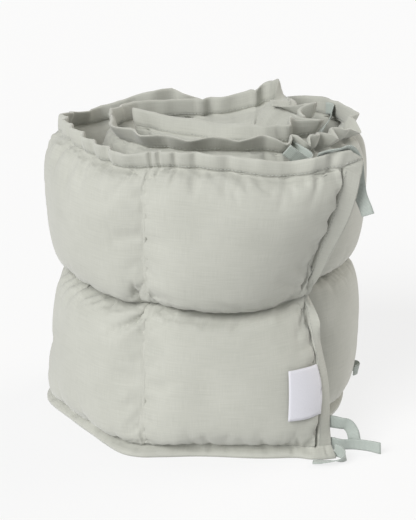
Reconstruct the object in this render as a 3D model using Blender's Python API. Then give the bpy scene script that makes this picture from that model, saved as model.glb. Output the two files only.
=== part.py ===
"""A quilted crib bumper, rolled up and standing on its long edge.

The pad is one long filled strip.  Seams along it and across it draw it in, so each row puffs out
between them, and a flat hem runs round its edges.  It is wound about two and a half turns, clockwise
seen from above, with its outer end at the front right.  Ribbon ties and a bare label are sewn to it.
"""
import math
from collections import namedtuple
from functools import lru_cache

import bmesh
import bpy
import numpy as np
from mathutils import Vector

MM = 0.001

# The flat strip, in metres.
PANEL_COUNT = 9
PANEL_PITCH = 0.180
HEM_WIDTH = 0.018
CLOTH_THICKNESS = 0.003

# Heights of the seams above the surface it stands on.
FOOT_THICKNESS = 0.003
BOTTOM_SEAM_Z = 0.009
MIDDLE_SEAM_Z = 0.150
TOP_SEAM_Z = 0.282
TOP_EDGE_Z = 0.300

# The foot is the bottom hem, splayed outward and lying flat.
FOOT_FLAT = 0.008

# Shape of the filled rows between the seams.
ROW_POWER = 3.0
ROW_ROOT = 0.45
LOWER_SAG = 0.86
END_RAMP = 0.034
VALLEY_REACH = 0.020

# The outer end is drawn in at its middle seam, and its top leans past its foot.
WAIST_HEIGHT = 0.075
WAIST_REACH = 0.085
WAIST_INSET = 0.038
WAIST_SHIFT = 0.018
END_SLANT = 0.012

# The inner end leans on past its foot towards its top.
INNER_SLANT = 0.028
INNER_SLANT_FROM_Z = 0.18
INNER_SLANT_REACH = 0.11
INNER_SLANT_POWER = 1.5

# How quickly the rise of the top hem comes in with height, and the most that the hem leans over.
RISE_POWER = 3
HEM_TILT_LIMIT = 0.016

# Carries the plan's own coordinates to ones with the origin under the middle of the whole object.
TO_ORIGIN = Vector((0.0006, 0.0175, 0.0))

# The plan of the wound strip at its top and bottom seams, from the outer end to the inner one.
Plan = namedtuple("Plan", "x_mm y_mm")
WOUND_PLAN = (
    Plan(130, -140), Plan(110, -147), Plan(78, -150), Plan(40, -147), Plan(0, -139), Plan(-45, -128),
    Plan(-86, -104), Plan(-116, -68), Plan(-133, -26), Plan(-137, 15), Plan(-129, 52), Plan(-103, 85),
    Plan(-62, 104), Plan(-15, 112), Plan(35, 113), Plan(85, 104), Plan(120, 78), Plan(134, 42),
    Plan(132, 5), Plan(121, -32), Plan(100, -63), Plan(68, -86), Plan(25, -95), Plan(-18, -95),
    Plan(-56, -81), Plan(-82, -52), Plan(-94, -14), Plan(-92, 22), Plan(-76, 51), Plan(-45, 68),
    Plan(-5, 74), Plan(38, 76), Plan(66, 71), Plan(85, 48), Plan(89, 15), Plan(84, -20),
    Plan(67, -41), Plan(38, -39), Plan(4, -27), Plan(-28, -10), Plan(-54, 14),
)

# How far the filling stands out of each face, and how deep a cross seam lies in the outer one.
Puff = namedtuple("Puff", "panel outer_mm inner_mm dip_mm")
PUFFS = (
    Puff(0.0, 20, 12, 6), Puff(0.5, 24, 15, 6), Puff(1.4, 24, 14, 6), Puff(2.0, 24, 17, 6),
    Puff(3.9, 24, 17, 6), Puff(4.5, 22, 16, 7), Puff(5.0, 12, 17, 6), Puff(5.6, 13, 20, 6),
    Puff(6.3, 14, 24, 7), Puff(6.9, 14, 28, 8), Puff(7.4, 14, 42, 8), Puff(7.8, 14, 34, 7),
    Puff(8.15, 11, 22, 6), Puff(8.45, 20, 18, 12), Puff(8.7, 26, 28, 14), Puff(9.0, 28, 22, 14),
)

# How the top hem stands: how far its seam and its edge lean outward and how high it rises.
TopHem = namedtuple("TopHem", "panel seam_lean_mm edge_lean_mm rise_mm")
TOP_HEM = (
    TopHem(0.0, 2, 5, 0), TopHem(0.3, 3, 4, -9), TopHem(0.6, 4, 8, -4), TopHem(0.9, 5, 11, -2),
    TopHem(1.15, 6, 12, -7), TopHem(1.4, 6, 12, 0), TopHem(1.65, 6, 12, 5), TopHem(2.0, 6, 12, 1),
    TopHem(2.25, 6, 12, -8), TopHem(2.45, 5, 10, -10), TopHem(2.65, 3, 6, -2), TopHem(2.88, 2, 4, 5),
    TopHem(3.15, 2, 3, -9), TopHem(3.45, 2, 3, -6), TopHem(3.8, 3, 4, 1), TopHem(4.1, 4, 6, 1),
    TopHem(4.35, 6, 14, 2), TopHem(4.6, 5, 12, 0), TopHem(4.9, 0, 6, -1), TopHem(5.3, -5, 6, 4),
    TopHem(6.0, -5, 5, 4), TopHem(6.3, -3, 3, 3), TopHem(6.6, 0, 3, 3), TopHem(7.2, 0, 1, 3),
    TopHem(7.45, 0, 2, 14), TopHem(7.62, 3, 6, 23), TopHem(7.75, 2, -6, 17), TopHem(7.9, 2, -12, 8),
    TopHem(8.05, 3, -4, 2), TopHem(8.18, 5, 6, -5), TopHem(8.35, 6, 0, -8), TopHem(8.5, 6, -3, -6),
    TopHem(8.8, 4, -3, -3), TopHem(9.0, 0, -2, 1),
)

# Ruffles of the top hem, largest where the strip turns inward at the right.
Ruffle = namedtuple("Ruffle", "panel depth_mm")
RUFFLES = (
    Ruffle(0.0, 0), Ruffle(0.8, 1), Ruffle(1.3, 1), Ruffle(2.2, 1), Ruffle(4.2, 1), Ruffle(4.5, 5),
    Ruffle(4.7, 9), Ruffle(5.1, 9), Ruffle(5.5, 2), Ruffle(7.4, 1), Ruffle(7.8, 2), Ruffle(8.3, 4),
    Ruffle(9.0, 2),
)
RUFFLE_LENGTH = 0.047

# How far outward the bottom seam stands and the bottom hem splays.
Foot = namedtuple("Foot", "panel seam_out_mm splay_mm")
FEET = (
    Foot(-0.1, -3, 7), Foot(0.02, -4, 6), Foot(0.14, -9, 0), Foot(0.35, -8, 3), Foot(0.55, -5, 5),
    Foot(0.75, 1, 10), Foot(0.9, 7, 18), Foot(1.0, 12, 26), Foot(1.1, 13, 27), Foot(1.25, 8, 18),
    Foot(1.4, 5, 12), Foot(1.6, 6, 12), Foot(1.75, 9, 17), Foot(1.9, 15, 26), Foot(2.0, 18, 30),
    Foot(2.15, 17, 29), Foot(2.35, 12, 25), Foot(2.7, 5, 14), Foot(3.8, 0, 10), Foot(4.3, -4, 7),
    Foot(5.5, 0, 10), Foot(9.0, 0, 10),
)

# Resolution of the solids.
PATH_STEPS = 24
TABLE_STEPS = 12
RUN_OUT = 0.05
LOOK_AHEAD = 0.004
PANEL_STATIONS = 13
STATION_CLUSTER = 0.06
ROW_STATIONS = (0.035, 0.16, 0.5, 0.84, 0.965)


def smooth_rows(rows, steps):
    """Carry a smooth curve through the rows, `steps` points to each span."""
    rows = np.array(rows, dtype=float)
    padded = np.vstack([2 * rows[0] - rows[1], rows, 2 * rows[-1] - rows[-2]])
    pieces = []
    for first in range(len(rows) - 1):
        before, start, end, after = padded[first:first + 4]
        t = np.arange(steps)[:, None] / steps
        pieces.append(0.5 * (2 * start + (end - before) * t
                             + (2 * before - 5 * start + 4 * end - after) * t ** 2
                             + (3 * start - before - 3 * end + after) * t ** 3))
    pieces.append(rows[-1:])
    return np.vstack(pieces)


def run_out(path):
    """Lengthen the path a little at both ends, straight on."""
    start = path[0] - path[1]
    end = path[-1] - path[-2]
    return np.vstack([path[0] + RUN_OUT * start / np.linalg.norm(start), path,
                      path[-1] + RUN_OUT * end / np.linalg.norm(end)])


PATH = run_out(smooth_rows(WOUND_PLAN, PATH_STEPS) * MM)
PATH_ARC = np.cumsum(np.concatenate([[-RUN_OUT], np.linalg.norm(np.diff(PATH, axis=0), axis=1)]))
FLAT_LENGTH = PANEL_COUNT * PANEL_PITCH + 2 * HEM_WIDTH
DRAW_IN = (PATH_ARC[-1] - RUN_OUT) / FLAT_LENGTH


@lru_cache
def smooth_table(rows):
    """The rows of a table with smooth steps between them."""
    return smooth_rows(rows, TABLE_STEPS)


def table(rows, column, panel):
    """Read one column of a table at a place along the strip, in metres."""
    smooth = smooth_table(rows)
    return np.interp(panel, smooth[:, 0], smooth[:, rows[0]._fields.index(column)]) * MM


def plan_point(flat):
    """Place and outward direction on the plan at a distance along the strip."""
    arc = (flat + HEM_WIDTH) * DRAW_IN
    place = [np.interp(arc, PATH_ARC, PATH[:, axis]) for axis in (0, 1)]
    ahead = [np.interp(arc + LOOK_AHEAD, PATH_ARC, PATH[:, axis]) for axis in (0, 1)]
    behind = [np.interp(arc - LOOK_AHEAD, PATH_ARC, PATH[:, axis]) for axis in (0, 1)]
    along_x, along_y = ahead[0] - behind[0], ahead[1] - behind[1]
    length = np.hypot(along_x, along_y)
    return place[0], place[1], -along_y / length, along_x / length


def row_fullness(zone, fraction):
    """0 on a seam along the strip and 1 on the crown of the row; the lower row sags a little."""
    if zone in ("foot", "hem"):
        return 0.0
    level = fraction ** LOWER_SAG if zone == "lower" else fraction
    return max(0.0, 1 - abs(2 * level - 1) ** ROW_POWER) ** ROW_ROOT


def end_fullness(panel):
    """0 on the seams at the two ends of the strip, 1 away from them."""
    to_end = np.minimum(panel, PANEL_COUNT - panel) * PANEL_PITCH
    return np.sqrt(np.clip(1 - (1 - np.clip(to_end / END_RAMP, 0, 1)) ** 2, 0, 1))


def cross_seam(panel):
    """1 on a seam across the strip, falling to 0 beside it."""
    to_seam = np.abs(panel - np.round(panel)) * PANEL_PITCH
    return np.exp(-(to_seam / VALLEY_REACH) ** 2)


def face_offsets(panel, fullness):
    """How far the outer and the inner face stand from the strip's seam surface."""
    fill = fullness * end_fullness(panel)
    seam = cross_seam(panel)
    outer = (table(PUFFS, "outer_mm", panel) - table(PUFFS, "dip_mm", panel) * seam) * fill
    inner = -table(PUFFS, "inner_mm", panel) * fill * (1 - seam) + outer * seam
    return outer, inner - CLOTH_THICKNESS


def ruffle(panel):
    """Sideways wave of the top hem."""
    wave = np.sin(2 * math.pi * panel * PANEL_PITCH / RUFFLE_LENGTH)
    return table(RUFFLES, "depth_mm", panel) * wave


def pad_point(panel, zone, fraction, face, proud=0.0):
    """Points on the pad, for one place or many along the strip.

    zone is foot, lower, upper or hem, from the bottom up; fraction runs up the zone;
    face is 1 for the outer face and -1 for the inner one; proud lifts the point off that face.
    """
    panel = np.asarray(panel, dtype=float)
    low, high = {"foot": (0.0, BOTTOM_SEAM_Z), "lower": (BOTTOM_SEAM_Z, MIDDLE_SEAM_Z),
                 "upper": (MIDDLE_SEAM_Z, TOP_SEAM_Z), "hem": (TOP_SEAM_Z, TOP_EDGE_Z)}[zone]
    z = low + (high - low) * fraction
    outer, inner = face_offsets(panel, row_fullness(zone, fraction))
    away = outer if face > 0 else inner
    seam_lean = table(TOP_HEM, "seam_lean_mm", panel)
    edge_lean = table(TOP_HEM, "edge_lean_mm", panel) + ruffle(panel)
    hem_tilt = np.clip(edge_lean - seam_lean, -HEM_TILT_LIMIT, HEM_TILT_LIMIT)
    foot_seam = table(FEET, "seam_out_mm", panel)
    foot_edge = table(FEET, "splay_mm", panel)
    lean = {"foot": foot_edge + (foot_seam - foot_edge) * fraction,
            "lower": foot_seam * (1 - fraction) ** 2,
            "upper": seam_lean * fraction,
            "hem": seam_lean + (edge_lean - seam_lean) * fraction}[zone]
    flat = panel * PANEL_PITCH
    waist = (math.exp(-((z - MIDDLE_SEAM_Z) / WAIST_HEIGHT) ** 2)
             * np.exp(-(np.maximum(flat, 0) / WAIST_REACH) ** 2))
    slant = END_SLANT * (z / MIDDLE_SEAM_Z - 1) * np.exp(-np.maximum(flat, 0) / WAIST_REACH)
    climb = max(0.0, (z - INNER_SLANT_FROM_Z) / (TOP_EDGE_Z - INNER_SLANT_FROM_Z))
    to_inner_end = np.maximum(PANEL_COUNT * PANEL_PITCH - flat, 0)
    inner_slant = (INNER_SLANT * climb ** INNER_SLANT_POWER
                   * np.exp(-(to_inner_end / INNER_SLANT_REACH) ** 2))
    x, y, out_x, out_y = plan_point(flat + WAIST_SHIFT * waist - slant + inner_slant)
    away = away + lean - WAIST_INSET * waist + face * proud
    rise = table(TOP_HEM, "rise_mm", panel) * (z / TOP_EDGE_Z) ** RISE_POWER
    if zone == "hem":
        rise = rise - fraction * (HEM_WIDTH - np.sqrt(HEM_WIDTH ** 2 - hem_tilt ** 2))
    return np.stack([x + out_x * away, y + out_y * away, z + rise], axis=-1)


def pad_rows(face):
    """Every row of points up one face of the pad, from the foot to the top edge."""
    stations = np.array(pad_stations())
    if face > 0:
        foot = pad_point(stations, "foot", 0.0, 1)
        foot[:, 2] = FOOT_THICKNESS
    else:
        foot = pad_point(stations, "foot", 0.0, 1, -FOOT_FLAT)
    rows = [foot]
    for zone in ("lower", "upper"):
        rows += [pad_point(stations, zone, fraction, face) for fraction in (0.0,) + ROW_STATIONS]
    rows += [pad_point(stations, "hem", fraction, face) for fraction in (0.0, 1.0)]
    return rows


def pad_stations():
    """Places along the strip, closer together beside the cross seams."""
    hem = HEM_WIDTH / PANEL_PITCH
    even = np.arange(PANEL_COUNT * PANEL_STATIONS + 1) / PANEL_STATIONS
    spread = even - STATION_CLUSTER * np.sin(2 * math.pi * even)
    return [-hem, -0.5 * hem, *spread, PANEL_COUNT + 0.5 * hem, PANEL_COUNT + hem]


def fabric(name, colour, roughness):
    """A plain cloth material."""
    material = bpy.data.materials.new(name)
    material.use_nodes = True
    shader = material.node_tree.nodes["Principled BSDF"]
    shader.inputs["Base Color"].default_value = (*colour, 1.0)
    shader.inputs["Roughness"].default_value = roughness
    shader.inputs["Metallic"].default_value = 0.0
    return material


def add_solid(name, points, faces, material):
    """Make one closed solid with its faces pointing out."""
    solid = bmesh.new()
    for point in points:
        solid.verts.new(Vector([float(value) for value in point]) + TO_ORIGIN)
    solid.verts.ensure_lookup_table()
    for face in faces:
        solid.faces.new([solid.verts[index] for index in face])
    bmesh.ops.recalc_face_normals(solid, faces=solid.faces)
    bmesh.ops.triangulate(solid, faces=solid.faces)
    mesh = bpy.data.meshes.new(name)
    solid.to_mesh(mesh)
    solid.free()
    mesh.shade_smooth()
    mesh.materials.append(material)
    thing = bpy.data.objects.new(name, mesh)
    bpy.context.scene.collection.objects.link(thing)
    return thing


def loft(count, size):
    """Faces that join `count` closed loops of `size` points, numbered in turn."""
    faces = []
    for ring in range(count - 1):
        for corner in range(size):
            after = (corner + 1) % size
            faces.append((ring * size + corner, ring * size + after,
                          (ring + 1) * size + after, (ring + 1) * size + corner))
    return faces


def add_pad(material):
    """The wound, quilted and filled strip with its hem."""
    outer = pad_rows(1)
    inner = pad_rows(-1)
    toe = pad_point(pad_stations(), "foot", 0.0, 1)
    loop = np.stack(outer + inner[::-1] + [toe], axis=1)
    count, size = loop.shape[:2]
    faces = loft(count, size)
    for start in (0, (count - 1) * size):
        for row in range(len(outer) - 1):
            faces.append((start + row, start + row + 1,
                          start + size - 3 - row, start + size - 2 - row))
        faces.append((start, start + size - 2, start + size - 1))
    return add_solid("pad", loop.reshape(-1, 3), faces, material)


# The ties are cut from one woven ribbon.  Each is sewn down at its first places, which lie flat on the
# pad's hem, and then runs free: a place on its middle line and the way it faces across.
RIBBON_WIDTH = 0.012
RIBBON_THICKNESS = 0.0012
RIBBON_STEPS = 4
RIBBON_FOOT_Z = 0.0056
FOOT_TILT = 0.5
SEWN_REACH = 0.02
Sewn = namedtuple("Sewn", "panel zone fraction face lift_mm")
Free = namedtuple("Free", "x_mm y_mm z_mm across_x across_y across_z")
TIES = {
    "tie_top": (
        Sewn(0.11, "hem", 0.80, -1, 0.8), Sewn(0.05, "hem", 0.84, -1, 0.8),
        Sewn(0.00, "hem", 0.80, -1, 0.8), Sewn(-0.05, "hem", 0.62, -1, 0.8),
        Free(142, -132.5, 286, 0.7, 0.0, 0.7), Free(145, -128.5, 275, 0.9, -0.1, 0.3),
        Free(145, -126.5, 263, 0.9, -0.2, 0.3), Free(147, -127, 253, 0.85, -0.2, 0.45),
        Free(151, -128, 243, 0.8, -0.2, 0.5), Free(154, -128.5, 234, 0.8, -0.2, 0.55)),
    "tie_front": (
        Sewn(4.96, "hem", 0.35, 1, 0.0), Free(93.5, -95, 281, 0.3, 0.1, 0.95),
        Free(94, -106, 279, 0.5, 0.1, 0.86), Free(89, -115, 281, 0.75, 0, 0.65),
        Free(81, -119, 287, 0.75, -0.1, 0.65), Free(72, -119.5, 294, 0.7, -0.15, 0.7)),
    "tie_back": (
        Sewn(3.94, "hem", 0.52, -1, 1.7), Sewn(4.00, "hem", 0.52, -1, 1.7),
        Free(123, 52, 285, 0.4, -0.1, 0.9), Free(118, 34, 283, 0.6, -0.1, 0.8),
        Free(112, 17, 281, 0.7, -0.2, 0.7), Free(108, 2, 278, 0.7, -0.2, 0.7)),
    "tie_foot_long": (
        Sewn(-0.04, "lower", 0.02, -1, 0.6), Sewn(-0.085, "lower", 0.01, -1, 0.6),
        Free(128, -133, 7.0, 0, -0.25, 0.97), Free(139, -131, 6.4, 0, -0.25, 0.97),
        Free(152, -134, 6.3, 0, -0.2, 0.98), Free(165, -141, 6.2, 0, -0.15, 0.99)),
    "tie_foot_curled": (
        Sewn(-0.055, "lower", 0.14, -1, 1.5), Sewn(-0.09, "lower", 0.15, -1, 1.5),
        Free(129, -128, 34, 0.15, -0.1, 0.98), Free(139, -126, 30, 0.45, -0.1, 0.88),
        Free(146, -126.5, 21, 0.75, -0.1, 0.65), Free(149, -128, 11, 0.85, -0.1, 0.5)),
    "tie_foot_folded": (
        Free(120.8, -145, 6.4, 0.1, 0, 1), Free(126.5, -150.5, 6.4, 0.1, 0, 1),
        Free(128, -158.5, 6.4, 0, -0.25, 0.97), Free(120, -165.5, 6.0, 0, -0.5, 0.86),
        Free(109, -167.5, 4.6, 0, -0.75, 0.66), Free(99, -168, 3.4, 0, -0.9, 0.43)),
    "tie_side": (
        Sewn(3.86, "foot", 0.0, 1, 1.2), Sewn(3.92, "foot", 0.0, 1, 1.2),
        Free(141, 81, 6.7, 0.1, 0.2, 1), Free(152, 82, 7.5, 0, 0.2, 1),
        Free(159.5, 79, 8.5, 0.2, 0, 1), Free(161, 73, 7.5, 0.2, -0.1, 1),
        Free(156, 68.5, 6.7, 0.1, -0.2, 1)),
}


def sewn_place(place):
    """Where a tie lies flat on the pad, and its across direction there."""
    proud = place.lift_mm * MM + RIBBON_THICKNESS / 2
    if place.zone == "foot":
        out_x, out_y = plan_point(place.panel * PANEL_PITCH)[2:]
        proud += FOOT_TILT * RIBBON_WIDTH / 2
        spot = pad_point(place.panel, "foot", place.fraction, place.face, proud)
        spot[2] = RIBBON_FOOT_Z
        return spot, np.array([FOOT_TILT * out_x, FOOT_TILT * out_y, 1 - FOOT_TILT / 2])
    spot = pad_point(place.panel, place.zone, place.fraction, place.face, proud)
    above = pad_point(place.panel, place.zone, place.fraction + SEWN_REACH, place.face, proud)
    return spot, (above - spot) / np.linalg.norm(above - spot)


def tie_places(places):
    """The middle line of a tie and its across direction, from its sewn and its free places."""
    rows = []
    for place in places:
        if isinstance(place, Sewn):
            spot, across = sewn_place(place)
        else:
            spot, across = np.array(place[:3]) * MM, np.array(place[3:], dtype=float)
        rows.append((*spot, *across))
    return rows


def add_tie(name, places, material):
    """A flat woven strip that follows its places."""
    smooth = smooth_rows(tie_places(places), RIBBON_STEPS)
    middle = smooth[:, :3]
    along = np.gradient(middle, axis=0)
    along /= np.linalg.norm(along, axis=1)[:, None]
    across = smooth[:, 3:] - along * np.sum(smooth[:, 3:] * along, axis=1)[:, None]
    across *= RIBBON_WIDTH / 2 / np.linalg.norm(across, axis=1)[:, None]
    through = np.cross(along, across)
    through *= RIBBON_THICKNESS / 2 / np.linalg.norm(through, axis=1)[:, None]
    corners = [middle + across + through, middle - across + through,
               middle - across - through, middle + across - through]
    points = np.stack(corners, axis=1).reshape(-1, 3)
    last = len(points) - 4
    faces = loft(len(middle), 4)
    faces += [(0, 1, 2, 3), (last, last + 1, last + 2, last + 3)]
    return add_solid(name, points, faces, material)


# The label lies on the lower row beside the outer end seam.
LABEL_FROM_SEAM = (0.002, 0.036)
LABEL_FRACTION = (0.26, 0.60)
LABEL_THICKNESS = 0.0010
LABEL_GAP = 0.0006
LABEL_CELLS = 6


def add_label(material):
    """The bare sewn-in label, curved over the filled row."""
    first, last = (distance / PANEL_PITCH for distance in LABEL_FROM_SEAM)
    points = []
    for proud in (LABEL_GAP, LABEL_GAP + LABEL_THICKNESS):
        for row in range(LABEL_CELLS + 1):
            low, high = LABEL_FRACTION
            fraction = low + (high - low) * row / LABEL_CELLS
            for column in range(LABEL_CELLS + 1):
                panel = first + (last - first) * column / LABEL_CELLS
                points.append(pad_point(panel, "lower", fraction, 1, proud))
    side = LABEL_CELLS + 1
    back = side * side
    faces = []
    for row in range(LABEL_CELLS):
        for column in range(LABEL_CELLS):
            corner = row * side + column
            quad = (corner, corner + 1, corner + side + 1, corner + side)
            faces += [quad, tuple(index + back for index in quad)]
    rim = [column for column in range(side)]
    rim += [row * side + LABEL_CELLS for row in range(1, side)]
    rim += [LABEL_CELLS * side + column for column in range(LABEL_CELLS - 1, -1, -1)]
    rim += [row * side for row in range(LABEL_CELLS - 1, 0, -1)]
    for start, end in zip(rim, rim[1:] + rim[:1]):
        faces.append((start, end, end + back, start + back))
    return add_solid("label", points, faces, material)


def main():
    """Build the bumper in an empty scene."""
    for old in list(bpy.data.objects):
        bpy.data.objects.remove(old, do_unlink=True)
    cotton = fabric("quilted_cotton", (0.42, 0.43, 0.39), 0.85)
    add_pad(cotton)
    ribbon = fabric("woven_ribbon", (0.32, 0.35, 0.32), 0.8)
    for name, places in TIES.items():
        add_tie(name, places, ribbon)
    add_label(fabric("label_cloth", (0.60, 0.60, 0.63), 0.7))


main()
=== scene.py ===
"""Looks of the rolled crib bumper: its cloth, seams, gathers, ribbon ties and bare label.

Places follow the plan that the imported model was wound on, in metres.  A place along the strip is given
in panels, which are numbered from the outer end, and a height is measured from the floor.
"""
import math
from collections import namedtuple
from functools import lru_cache

import bpy
import numpy as np
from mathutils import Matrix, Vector


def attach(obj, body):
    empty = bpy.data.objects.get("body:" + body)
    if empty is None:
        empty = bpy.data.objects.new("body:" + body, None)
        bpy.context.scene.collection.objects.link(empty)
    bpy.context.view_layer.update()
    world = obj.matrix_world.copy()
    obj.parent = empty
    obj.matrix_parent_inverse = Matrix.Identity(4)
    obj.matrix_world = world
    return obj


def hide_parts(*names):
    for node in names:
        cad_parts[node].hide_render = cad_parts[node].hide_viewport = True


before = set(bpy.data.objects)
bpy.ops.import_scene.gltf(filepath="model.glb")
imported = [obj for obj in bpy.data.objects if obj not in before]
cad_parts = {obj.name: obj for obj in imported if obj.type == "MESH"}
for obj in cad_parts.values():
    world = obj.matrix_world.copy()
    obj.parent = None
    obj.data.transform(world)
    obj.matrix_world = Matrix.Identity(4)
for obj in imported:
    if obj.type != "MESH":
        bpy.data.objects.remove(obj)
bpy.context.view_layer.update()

MM = 0.001

# The flat strip, in metres, and the heights of its seams.
PANEL_COUNT = 9
PANEL_PITCH = 0.180
HEM_WIDTH = 0.018
CLOTH_THICKNESS = 0.0025
BOTTOM_SEAM_Z = 0.009
MIDDLE_SEAM_Z = 0.150
TOP_SEAM_Z = 0.282
TOP_EDGE_Z = 0.300
STRIP_LENGTH = PANEL_COUNT * PANEL_PITCH

# Carries the plan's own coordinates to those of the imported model.
TO_ORIGIN = np.array([0.0006, 0.0175, 0.0])


def named_rows(columns, *values):
    """A table: the names of its columns, and its rows."""
    row = namedtuple("Row", columns)
    return tuple(row(*value) for value in values)


# The foot is the bottom hem, splayed outward and lying flat.
FOOT_FLAT = 0.008
FOOT_THICKNESS = 0.003

# Shape of the filled rows between the seams.
ROW_POWER = 3.0
ROW_ROOT = 0.45
LOWER_SAG = 0.86
END_RAMP = 0.050
END_THINNING = 0.35
END_THINNING_REACH = 0.070
END_OVERHANG_REACH = 0.017
VALLEY_REACH = 0.020
HEM_ROUND_FROM = 0.90
HEM_ROUNDING = 0.96
HEM_SOFTNESS = 0.0011

# The outer end is drawn in at its middle seam, and its top leans past its foot.
WAIST_HEIGHT = 0.075
WAIST_REACH = 0.085
WAIST_INSET = 0.038
WAIST_SHIFT = 0.018
WAIST_HEIGHT_BELOW = 0.050
END_SLANT = 0.012

# The inner end leans on past its foot towards its top.
INNER_SLANT = 0.036
INNER_SLANT_FROM_Z = 0.18
INNER_SLANT_REACH = 0.11
INNER_SLANT_POWER = 1.5

# How quickly the rise of the top hem comes in with height, and the most that the hem leans over.
RISE_POWER = 3
HEM_TILT_LIMIT = 0.016

WOUND_PLAN = named_rows(
    "x_mm y_mm",
    (130, -140), (110, -147), (78, -150), (40, -147), (0, -139), (-45, -128), (-86, -104), (-116, -68),
    (-133, -26), (-137, 15), (-129, 52), (-103, 85), (-62, 104), (-15, 112), (35, 113), (85, 104),
    (120, 78), (134, 42), (132, 5), (121, -32), (100, -63), (68, -86), (25, -95), (-18, -95),
    (-56, -81), (-82, -52), (-94, -14), (-92, 22), (-76, 51), (-45, 68), (-5, 74), (38, 76), (66, 71),
    (85, 48), (89, 15), (84, -20), (67, -41), (38, -39), (4, -27), (-28, -10), (-54, 14),
)

# How far the filling stands out of each face, and how deep a cross seam lies in the outer one.
PUFFS = named_rows(
    "panel outer_mm inner_mm dip_mm",
    (0.0, 20, 12, 6), (0.5, 24, 15, 6), (1.4, 20, 14, 6), (2.0, 19, 17, 6), (3.9, 20, 17, 6),
    (4.5, 18, 16, 7), (5.0, 12, 17, 6), (5.6, 13, 20, 6), (6.3, 14, 24, 7), (6.9, 14, 28, 8),
    (7.4, 14, 42, 8), (7.8, 14, 34, 7), (8.15, 11, 22, 6), (8.45, 20, 18, 12), (8.7, 26, 28, 14),
    (9.0, 28, 22, 14),
)

# How the top hem stands: how far its seam and its edge lean outward and how high it rises.
TOP_HEM = named_rows(
    "panel seam_lean_mm edge_lean_mm rise_mm",
    (-0.1, 2, 3, -10), (-0.04, 2, 5, -3), (0.02, 2, 6, 0), (0.3, 3, 4, -9), (0.6, 4, 8, -4),
    (0.9, 5, 11, -2), (1.15, 7, 12, -7), (1.4, 8, 12, 0), (1.65, 9, 10, 5), (2.0, 9, 4, 2),
    (2.25, 9, 3, -6), (2.45, 6, 6, -9), (2.65, 3, 6, -2), (2.88, 2, 4, 5), (3.15, 2, 3, -9),
    (3.45, 2, 3, -6), (3.8, 3, 4, 1), (4.1, 4, 6, 1), (4.35, 6, 14, 2), (4.6, 5, 12, 0),
    (4.9, 0, 6, -1), (5.3, -5, 6, 4), (6.0, -5, 5, 4), (6.3, -3, 3, 3), (6.6, 0, 3, 3), (7.2, 0, 1, 3),
    (7.45, 0, 2, 14), (7.55, 1, 1, 22), (7.6, 1, -3, 29), (7.65, 0, -12, 30), (7.75, -2, -22, 28),
    (7.84, -2, -18, 14), (7.92, 2, -6, 6), (8.05, 3, -4, 2), (8.18, 5, 6, 0), (8.35, 6, 0, 1),
    (8.5, 6, -3, 1), (8.8, 4, -3, 1), (9.0, 0, -2, 0),
)

# Ruffles of the top hem, largest where the strip turns inward at the right.
RUFFLES = named_rows(
    "panel depth_mm",
    (0.0, 0), (0.8, 1), (1.3, 1), (2.2, 1), (4.2, 1), (4.5, 2), (4.7, 2), (5.1, 4), (5.5, 2), (7.4, 1),
    (7.8, 2), (8.3, 3), (9.0, 2),
)
RUFFLE_LENGTH = 0.047
RUFFLE_SHARPNESS = 0.96

# How far outward the bottom seam stands and the bottom hem splays.
FEET = named_rows(
    "panel seam_out_mm splay_mm",
    (-0.1, -3, 7), (0.02, -4, 6), (0.14, -9, 0), (0.35, -8, 3), (0.55, -5, 5), (0.75, 1, 10),
    (0.9, 7, 18), (1.0, 12, 26), (1.1, 13, 27), (1.25, 8, 18), (1.4, 5, 12), (1.6, 6, 12),
    (1.75, 9, 17), (1.9, 15, 26), (2.0, 18, 30), (2.15, 17, 29), (2.35, 12, 25), (2.7, 5, 14),
    (3.8, 0, 10), (4.3, -4, 7), (5.5, 0, 10), (9.0, 0, 10),
)

# How far the middle seam of the outer turn sags, at places along the strip.
SAGS = named_rows(
    "panel drop_mm",
    (-0.1, 3), (0.0, 3), (0.05, 4), (0.2, 7), (0.4, 9.5), (0.6, 9.5), (0.8, 7), (0.95, 4), (1.0, 3.5),
    (1.1, 4.5), (1.25, 4), (1.5, 2), (1.8, 0), (9.0, 0),
)
SAG_REACH = 0.045

# How far the filled rows bulge over the end hem, at heights from the floor.
END_BULGES = named_rows(
    "z_mm over_mm",
    (0, 0), (14, 3), (24, 1.5), (36, 4), (52, 2), (70, 3.5), (88, 1.5), (100, 5), (109, 1.5), (118, 5),
    (127, 2), (136, 3), (150, 2), (157, 5), (166, 6), (176, 7), (184, 3), (197, 6), (208, 3), (222, 7),
    (233, 3), (246, 7), (256, 4), (266, 7), (276, 5), (282, 1),
)

# The end hem is gathered to a point at the middle seam.
HEM_PINCH_Z = 0.154
HEM_PINCH_HEIGHT = 0.015
HEM_PINCH_SHARE = 0.7

# How far the outer edge of the end hem turns forward, or back where it is negative.
END_TURNS = named_rows(
    "z_mm out_mm",
    (0, 0), (12, -3), (30, -8), (70, -9), (100, -8), (116, -2), (128, 5), (140, 0), (153, -11),
    (168, -3), (185, 2), (240, 3), (282, 2), (300, 0),
)

PATH_STEPS = 24
TABLE_STEPS = 12
RUN_OUT = 0.05
LOOK_AHEAD = 0.004


# ---- the wound strip

def smooth_rows(rows, steps):
    """Carry a smooth curve through the rows, `steps` points to each span."""
    rows = np.array(rows, dtype=float)
    padded = np.vstack([2 * rows[0] - rows[1], rows, 2 * rows[-1] - rows[-2]])
    pieces = []
    for first in range(len(rows) - 1):
        before, start, end, after = padded[first:first + 4]
        t = np.arange(steps)[:, None] / steps
        pieces.append(0.5 * (2 * start + (end - before) * t
                             + (2 * before - 5 * start + 4 * end - after) * t ** 2
                             + (3 * start - before - 3 * end + after) * t ** 3))
    pieces.append(rows[-1:])
    return np.vstack(pieces)


def distances(points, start=0.0):
    """How far along a row of points each of them lies."""
    return np.cumsum(np.concatenate([[start], np.linalg.norm(np.diff(points, axis=0), axis=1)]))


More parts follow.
